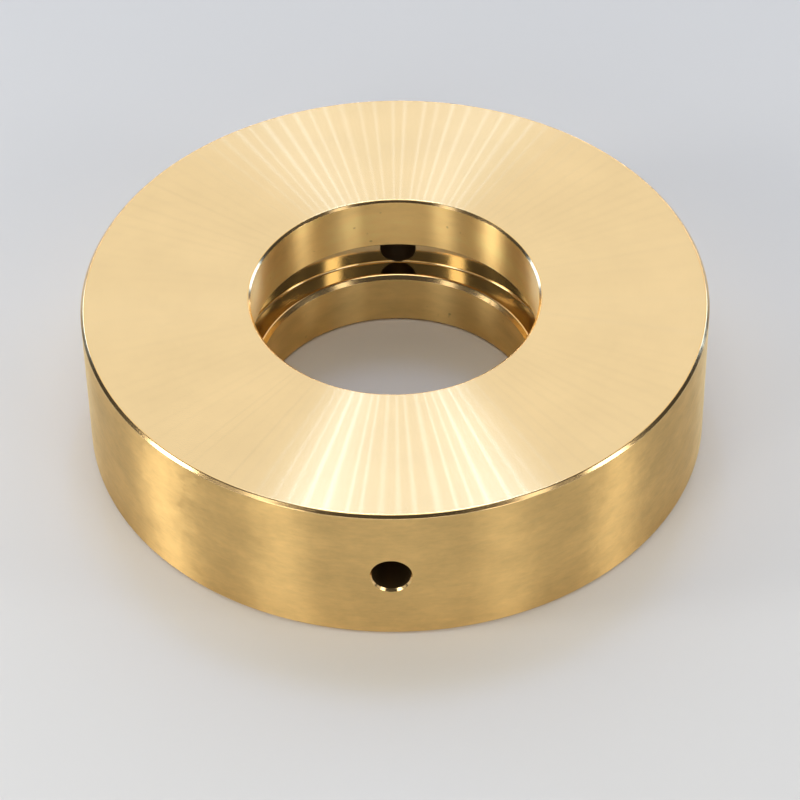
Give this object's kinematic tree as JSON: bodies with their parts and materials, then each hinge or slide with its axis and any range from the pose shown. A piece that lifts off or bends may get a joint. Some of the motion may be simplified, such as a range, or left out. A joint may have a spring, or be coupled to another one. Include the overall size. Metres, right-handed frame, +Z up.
{
  "type": "backup ring",
  "caption": "Thick turned brass ring with a stepped bore, an inner oil groove between its lands and opposite cross holes into the groove.",
  "frame": {"origin": "centre of the bottom face, on the ring's axis", "axes": "+Z up along the ring's axis to the face with the wider land, cross holes along -Y (front) and +Y"},
  "size_m": [0.1, 0.1, 0.0255],
  "materials": {
    "ring_body": "turned faces, brushed outside, polished groove and edges"
  },
  "bodies": {
    "root": {"ring_body": "ring_body"}
  },
  "joints": []
}
